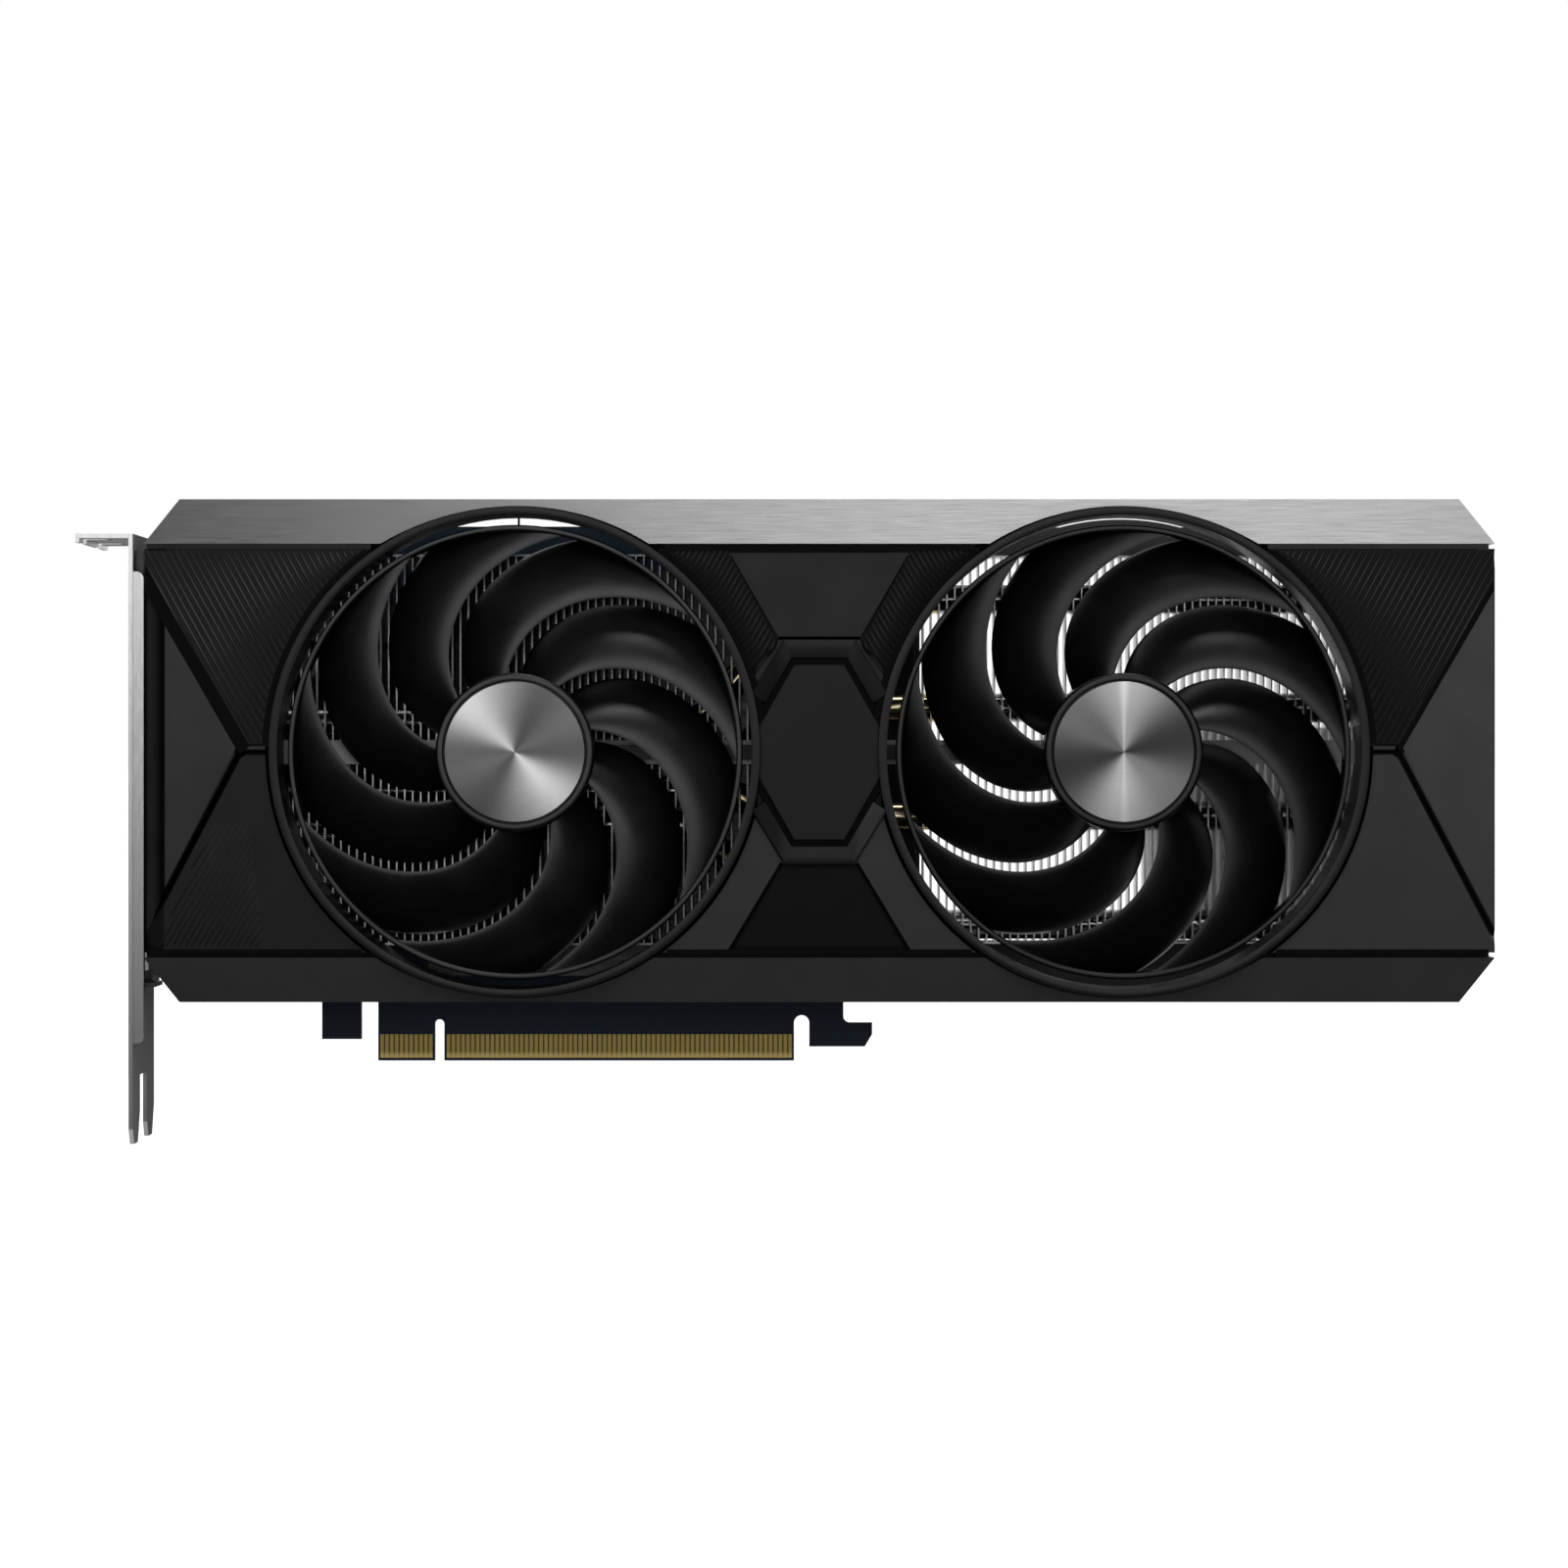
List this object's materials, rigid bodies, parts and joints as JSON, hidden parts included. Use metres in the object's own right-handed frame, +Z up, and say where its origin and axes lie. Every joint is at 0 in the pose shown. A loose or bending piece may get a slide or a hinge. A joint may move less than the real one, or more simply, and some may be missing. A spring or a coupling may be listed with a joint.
{
  "type": "graphics card",
  "caption": "Long computer graphics card: dark angular shroud, swept-blade fans that spin behind round rings, finned heatsink with heat pipes, board with gold edge contacts and slot bracket.",
  "frame": {"origin": "centre of the edge connector's key notch, at the board's mid-plane and the tips of the edge contacts", "axes": "+X along the card away from the bracket, +Z up away from the edge contacts, and the fans face -Y"},
  "size_m": [0.2805, 0.0421, 0.128],
  "materials": {
    "shroud_plastic": "fine-textured moulded plastic",
    "rail_metal": "satin anodised",
    "badge_plastic": "satin",
    "rotor_plastic": "satin moulded",
    "cap_metal": "radially brushed",
    "fin_metal": "bare sheet",
    "copper": "bare copper",
    "board_mask": "solder mask",
    "contact_gold": "plated",
    "bracket_steel": "plated sheet",
    "port_shell": "plated",
    "socket_plastic": "moulded",
    "header_plastic": "moulded",
    "lead_skin": "matte",
    "chip_epoxy": "moulded",
    "package_green": "laminate",
    "die_silicon": "polished",
    "pad_grey": "soft pad",
    "inductor_grey": "pressed powder",
    "can_metal": "drawn can",
    "plate_coat": "powder coat",
    "spring_steel": "plain",
    "black_screw": "black oxide",
    "magnet_black": "bonded magnet",
    "bush_bronze": "sintered",
    "stator_steel": "laminated and wound"
  },
  "bodies": {
    "card": {"shroud": "shroud_plastic", "top_rail": "rail_metal", "bottom_rail": "rail_metal", "centre_badge": "badge_plastic", "backplate": "plate_coat", "pcb": "board_mask", "edge_contacts": "contact_gold", "bracket": "bracket_steel", "displayport_connectors": "port_shell", "hdmi_connector": "port_shell", "power_connector": "socket_plastic", "gpu_package": "package_green", "gpu_die": "die_silicon", "memory_chips": "chip_epoxy", "memory_pads": "pad_grey", "mosfets": "chip_epoxy", "mosfet_pads": "pad_grey", "inductors": "inductor_grey", "capacitors": "can_metal", "fan_headers": "header_plastic", "fan_leads": "lead_skin", "cold_plate": "copper", "heat_pipes": "copper", "near_fin_stack": "fin_metal", "open_fin_stack": "fin_metal", "retention_plate": "spring_steel", "spring_screws": "spring_steel", "cover_screws": "black_screw", "bracket_screws": "spring_steel", "bearing_left": "bush_bronze", "stator_left": "stator_steel", "motor_bridge_left": "socket_plastic", "bearing_right": "bush_bronze", "stator_right": "stator_steel", "motor_bridge_right": "socket_plastic"},
    "fan_left": {"rotor_left": "rotor_plastic", "hub_cap_left": "cap_metal", "magnet_left": "magnet_black", "shaft_left": "spring_steel"},
    "fan_right": {"rotor_right": "rotor_plastic", "hub_cap_right": "cap_metal", "magnet_right": "magnet_black", "shaft_right": "spring_steel"}
  },
  "joints": [
    {"name": "fan_left_spin", "type": "hinge", "parent": "card", "child": "fan_left", "pos_m": [0.01755, 0, 0.0632], "axis": [0, 1, 0], "continuous": true},
    {"name": "fan_right_spin", "type": "hinge", "parent": "card", "child": "fan_right", "pos_m": [0.13795, 0, 0.0632], "axis": [0, 1, 0], "continuous": true}
  ]
}
